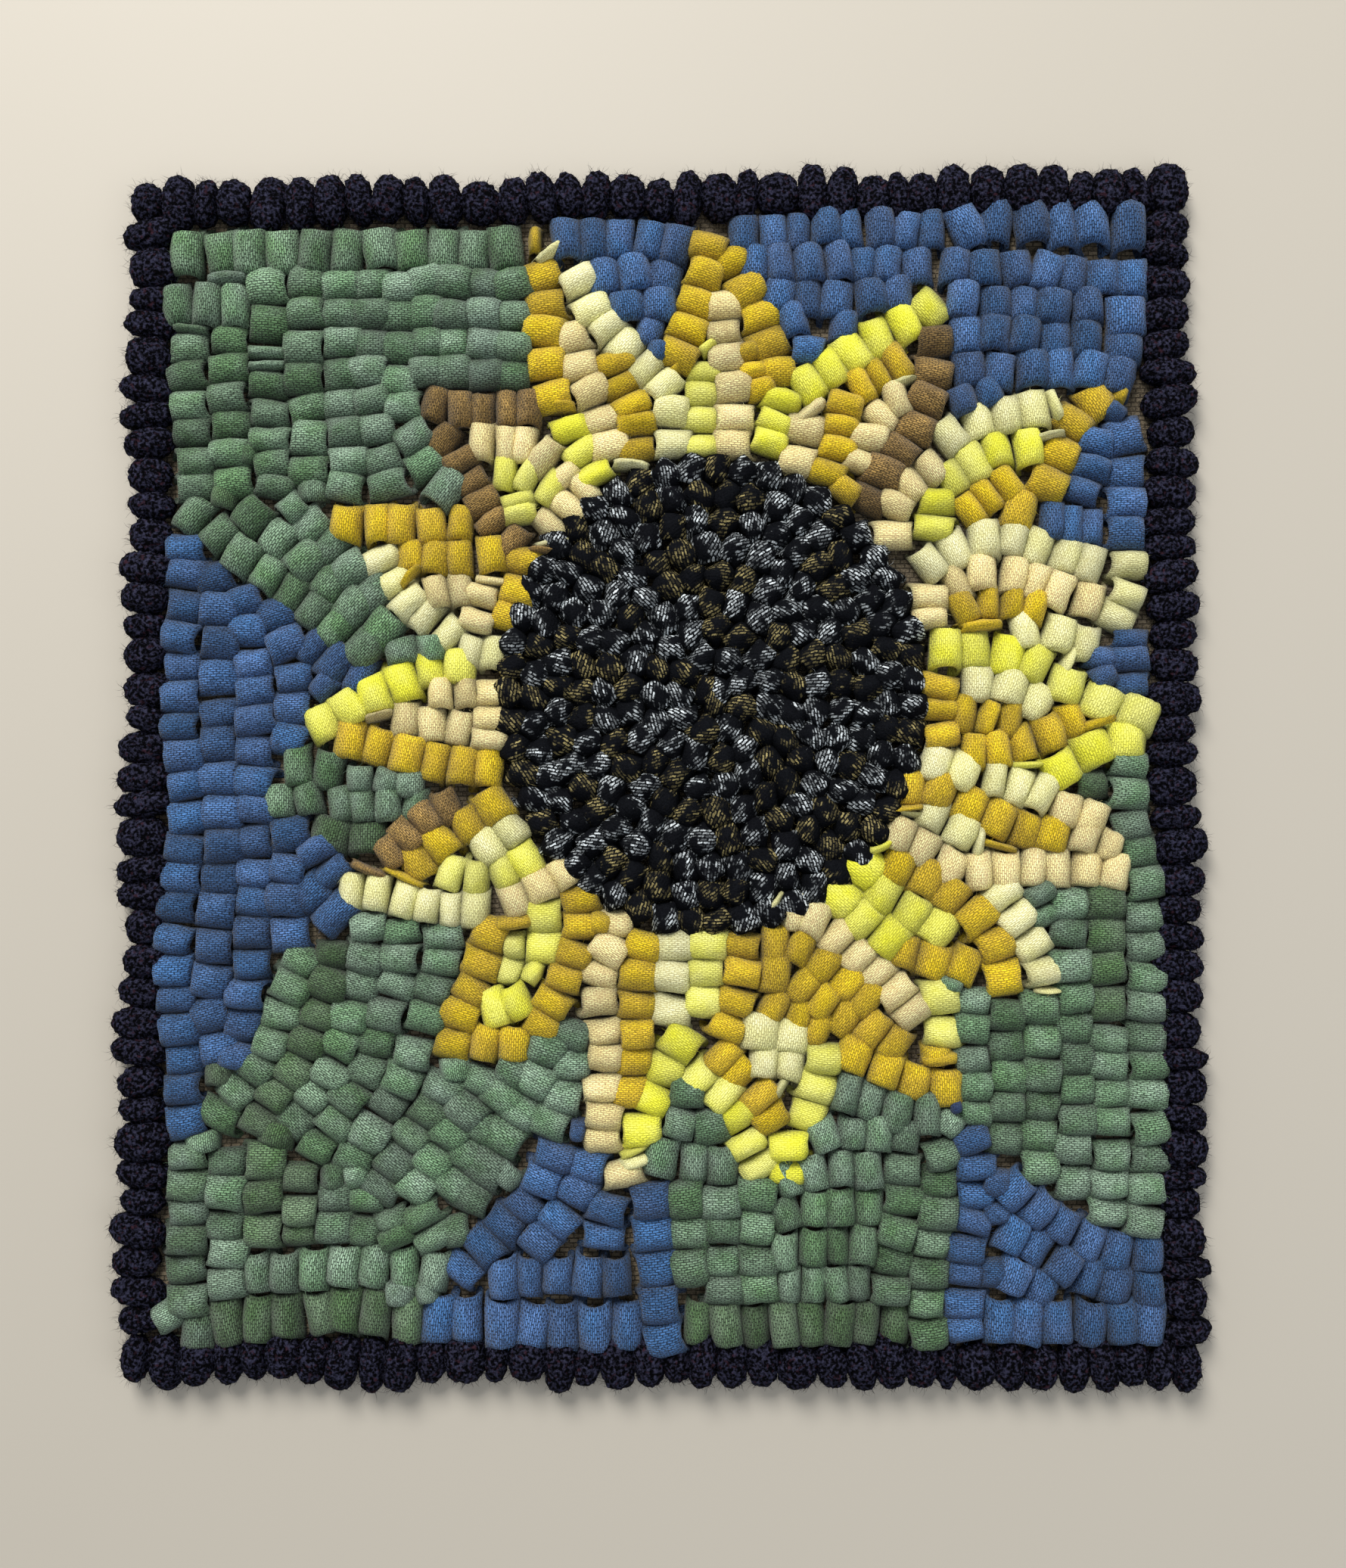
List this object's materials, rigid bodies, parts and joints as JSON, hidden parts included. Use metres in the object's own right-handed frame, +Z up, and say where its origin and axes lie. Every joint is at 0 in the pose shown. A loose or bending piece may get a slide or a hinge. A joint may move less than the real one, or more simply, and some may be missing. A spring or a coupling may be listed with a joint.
{
  "type": "hand-hooked wool mat with a sunflower design",
  "caption": "Small rectangular table mat of hooked wool loops through a linen foundation, with a sunflower in relief and a whipped dark yarn edge.",
  "frame": {"origin": "middle of the mat's outline, on the surface it lies on", "axes": "+Z up out of the pile, +Y towards the top of the picture, +X to its right"},
  "size_m": [0.216, 0.247, 0.0088],
  "materials": {
    "tweed_wool": "black, grey and olive tweed wool strip, hooked in loops, matt with short fibres",
    "gold_wool": "ochre gold plain-weave wool strip, matt",
    "lemon_wool": "bright lemon yellow plain-weave wool strip, matt",
    "butter_wool": "pale butter yellow plain-weave wool strip, matt",
    "cream_wool": "cream plain-weave wool strip, matt",
    "peach_wool": "peach beige plain-weave wool strip, matt",
    "brown_wool": "mid-brown herringbone twill wool strip, matt",
    "green_wool": "moss to grey-sage green heather wool strip, mottled by hand dyeing, matt",
    "blue_wool": "mid-blue heather wool strip, mottled by hand dyeing, matt",
    "navy_yarn": "near-black navy bulky wool yarn, hairy, matt",
    "linen": "natural plain-weave linen foundation cloth"
  },
  "bodies": {
    "root": {"leaf_bottom": "green_wool", "leaf_lower_left": "green_wool", "leaf_right": "green_wool", "leaf_small_left": "green_wool", "leaf_upper_left": "green_wool", "linen_foundation": "linen", "petal_e": "lemon_wool", "petal_ene": "cream_wool", "petal_ese": "gold_wool", "petal_n": "gold_wool", "petal_ne": "butter_wool", "petal_nne": "gold_wool", "petal_nnw": "cream_wool", "petal_nw": "brown_wool", "petal_s": "lemon_wool", "petal_se": "gold_wool", "petal_sse": "gold_wool", "petal_ssw": "peach_wool", "petal_sw": "gold_wool", "petal_w": "gold_wool", "petal_wnw": "gold_wool", "petal_wsw": "cream_wool", "seed_head": "tweed_wool", "sky_bottom": "blue_wool", "sky_bottom_right": "blue_wool", "sky_left": "blue_wool", "sky_right_lower": "blue_wool", "sky_right_upper": "blue_wool", "sky_top": "blue_wool", "sky_top_right": "blue_wool", "whipping_bottom": "navy_yarn", "whipping_left": "navy_yarn", "whipping_right": "navy_yarn", "whipping_top": "navy_yarn"}
  },
  "joints": []
}
